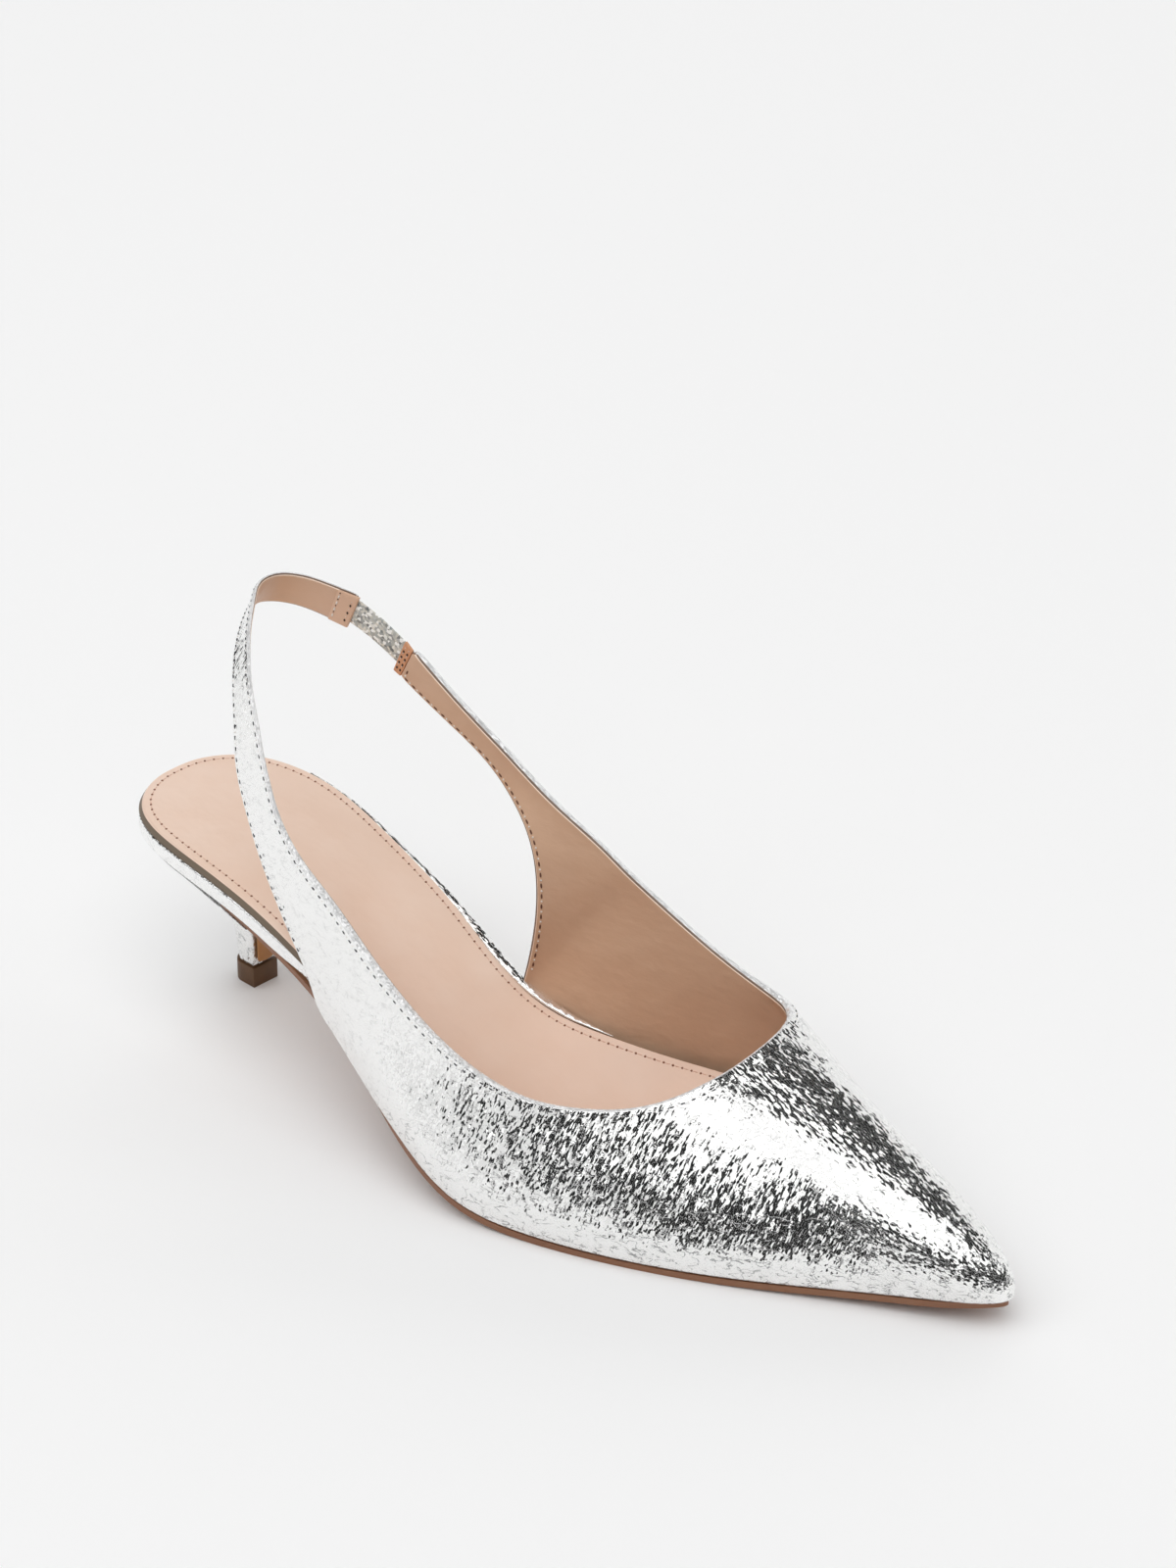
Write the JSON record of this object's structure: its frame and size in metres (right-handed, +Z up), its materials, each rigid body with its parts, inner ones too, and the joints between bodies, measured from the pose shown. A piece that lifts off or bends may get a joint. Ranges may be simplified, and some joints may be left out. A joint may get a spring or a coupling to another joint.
{
  "type": "slingback pump",
  "caption": "Pointed slingback pump, right shoe, in silver leather with a blush lining, a heel sling with an elastic end and a covered kitten heel.",
  "frame": {"origin": "on the floor, under the middle of the shoe's box", "axes": "+X towards the toe, +Y towards the inner side of the foot, +Z up"},
  "size_m": [0.2572, 0.0792, 0.1045],
  "materials": {
    "silver_leather": "crackled metallic foil",
    "blush_leather": "smooth satin",
    "sole_leather": "burnished edge",
    "breast_leather": "matt",
    "tip_rubber": "matt",
    "glitter_elastic": "glittering knit"
  },
  "bodies": {
    "root": {"upper": "silver_leather", "elastic": "glitter_elastic", "outsole": "sole_leather", "insole_board": "silver_leather", "sock": "blush_leather", "heel": "silver_leather", "heel_breast": "breast_leather", "top_piece": "tip_rubber"}
  },
  "joints": []
}
